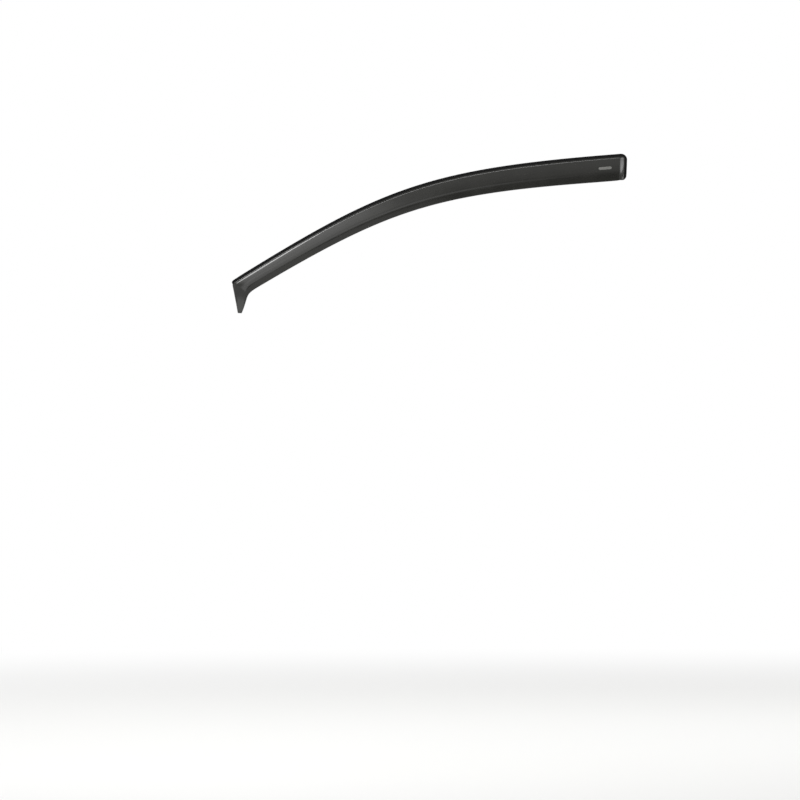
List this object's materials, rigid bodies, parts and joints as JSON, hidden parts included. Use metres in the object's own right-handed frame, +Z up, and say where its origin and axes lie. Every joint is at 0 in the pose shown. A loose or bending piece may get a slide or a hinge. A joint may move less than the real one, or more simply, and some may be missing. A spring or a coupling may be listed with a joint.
{
  "type": "window rain deflector",
  "caption": "Long curved rain deflector for a car door window, in smoked acrylic: a flange, a raised face with a turned-back lip, a closed rear end and a front tail.",
  "frame": {"origin": "on the outboard face of the mounting flange, 45 mm from the closed rear end", "axes": "+X towards the rear of the car along the strip, -Y outboard, +Z up, as it hangs on the left front door"},
  "size_m": [0.8476, 0.1102, 0.345],
  "materials": {
    "smoked_acrylic": "very dark smoked acrylic, smooth and polished"
  },
  "bodies": {
    "root": {"window_deflector": "smoked_acrylic"}
  },
  "joints": []
}
